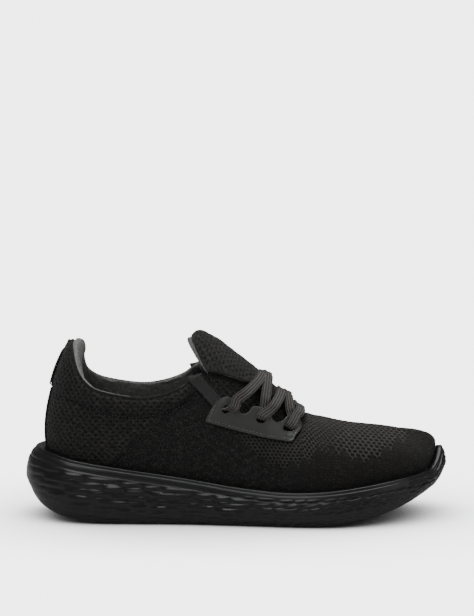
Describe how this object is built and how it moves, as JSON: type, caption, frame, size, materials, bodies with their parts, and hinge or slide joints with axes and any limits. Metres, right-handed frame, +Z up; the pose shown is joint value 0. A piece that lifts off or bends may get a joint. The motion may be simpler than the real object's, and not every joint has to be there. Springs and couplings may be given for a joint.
{
  "type": "running shoe",
  "caption": "Low running shoe for the right foot, with a knit upper, lace panels, padded collar and tongue, and a cupped foam sole that flexes at the toe.",
  "frame": {"origin": "on the ground under the middle of the sole's length and width", "axes": "+X to the toe, +Y to the inner (medial) side of this right shoe, +Z up from the ground"},
  "size_m": [0.3, 0.108, 0.1317],
  "materials": {
    "midsole": "satin black moulded foam with a shallow wave relief on its sides",
    "tread": "matt black rubber with moulded grooves",
    "board": "pale stiff non-woven board",
    "sockliner": "dark textile over foam",
    "knit": "black engineered knit with dimpled, flat, honeycomb and ribbed zones",
    "foam": "open-cell padding foam",
    "lining": "mid grey smooth knit lining",
    "eyestay": "smooth dark grey coated synthetic with light edge stitching",
    "webbing": "dark grey ribbed webbing",
    "lace": "flat woven lace with lengthwise ribs"
  },
  "bodies": {
    "rearfoot": {"midsole_rear": "midsole", "tread_heel_lateral": "tread", "tread_heel_medial": "tread", "tread_ball": "tread", "lasting_board_rear": "board", "sockliner_rear": "sockliner", "heel_quarter_knit": "knit", "midfoot_knit_lateral": "knit", "midfoot_knit_medial": "knit", "vamp_flex_knit": "knit", "heel_counter": "board", "collar_foam": "foam", "collar_lining": "lining", "tongue_base_knit": "knit", "tongue_base_foam": "foam", "tongue_base_lining": "lining", "gusset_lateral": "knit", "gusset_medial": "knit", "eyestay_lateral": "eyestay", "eyestay_medial": "eyestay", "collar_strap_lateral": "webbing", "collar_strap_medial": "webbing", "heel_tape": "webbing", "lace": "lace"},
    "forefoot": {"midsole_forefoot": "midsole", "tread_toe": "tread", "lasting_board_forefoot": "board", "sockliner_forefoot": "sockliner", "toe_box_knit": "knit", "toe_puff": "board"},
    "tongue_flap": {"tongue_flap_knit": "knit", "tongue_flap_foam": "foam", "tongue_flap_lining": "lining"},
    "pull_tab": {"pull_tab": "webbing"}
  },
  "joints": [
    {"name": "toe_flex", "type": "hinge", "parent": "rearfoot", "child": "forefoot", "pos_m": [0.062, 0, 0.026], "axis": [0, -1, 0], "range_deg": [0, 30], "stiffness_Nm_per_rad": 2, "deforming": ["vamp_flex_knit"]},
    {"name": "tongue_fold", "type": "hinge", "parent": "rearfoot", "child": "tongue_flap", "pos_m": [0.007, 0, 0.1115], "axis": [0, 1, 0], "range_deg": [0, 28], "stiffness_Nm_per_rad": 0.05},
    {"name": "pull_tab_swing", "type": "hinge", "parent": "rearfoot", "child": "pull_tab", "pos_m": [-0.131, 0, 0.093], "axis": [0, -1, 0], "range_deg": [0, 35], "stiffness_Nm_per_rad": 0.01}
  ]
}
